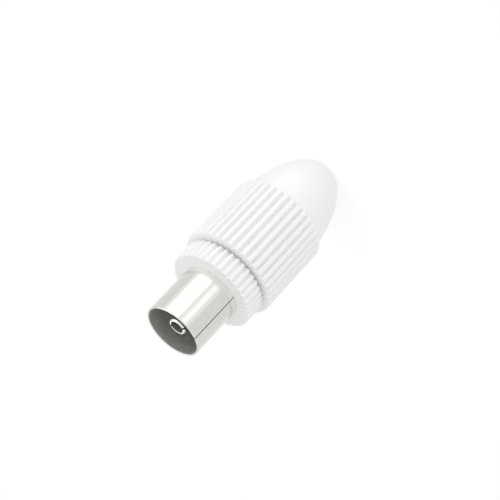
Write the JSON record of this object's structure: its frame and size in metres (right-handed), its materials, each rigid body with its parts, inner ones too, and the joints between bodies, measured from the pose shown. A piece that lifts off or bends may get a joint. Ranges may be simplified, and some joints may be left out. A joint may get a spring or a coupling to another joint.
{
  "type": "coaxial aerial connector",
  "caption": "Female coaxial aerial connector with a rolled metal shell, a split centre socket, a ribbed plastic collar and a screwed ribbed sleeve with a domed cable end.",
  "frame": {"origin": "centre of the flat rim at the tail, where the cable enters", "axes": "+Z along the axis from the tail to the mouth of the shell, with the seam of the shell towards -X -Y"},
  "size_m": [0.0168, 0.0168, 0.0391],
  "materials": {
    "white_plastic": "satin white moulding",
    "clamp_brass": "turned brass",
    "nickel_shell": "bright nickel plate",
    "insulator_plastic": "natural moulding",
    "nickel_contact": "nickel plate over brass",
    "screw_steel": "zinc plate"
  },
  "bodies": {
    "rear_half": {"rear_sleeve": "white_plastic"},
    "clamp": {"braid_clamp": "clamp_brass"},
    "front_half": {"collar_body": "white_plastic", "contact_shell": "nickel_shell", "insulator": "insulator_plastic", "centre_contact": "nickel_contact", "contact_screw": "screw_steel"}
  },
  "joints": [
    {"name": "unscrew_turn", "type": "hinge", "parent": "rear_half", "child": "clamp", "pos_m": [0, 0, 0.0196], "axis": [0, 0, 1], "range_deg": [0, 1440]},
    {"name": "unscrew_travel", "type": "slide", "parent": "clamp", "child": "front_half", "axis": [0, 0, 1], "range_m": [0, 0.005]}
  ],
  "couplings": [
    {"joint": "unscrew_travel", "follows": "unscrew_turn", "m_per_rad": 0.00019894}
  ]
}
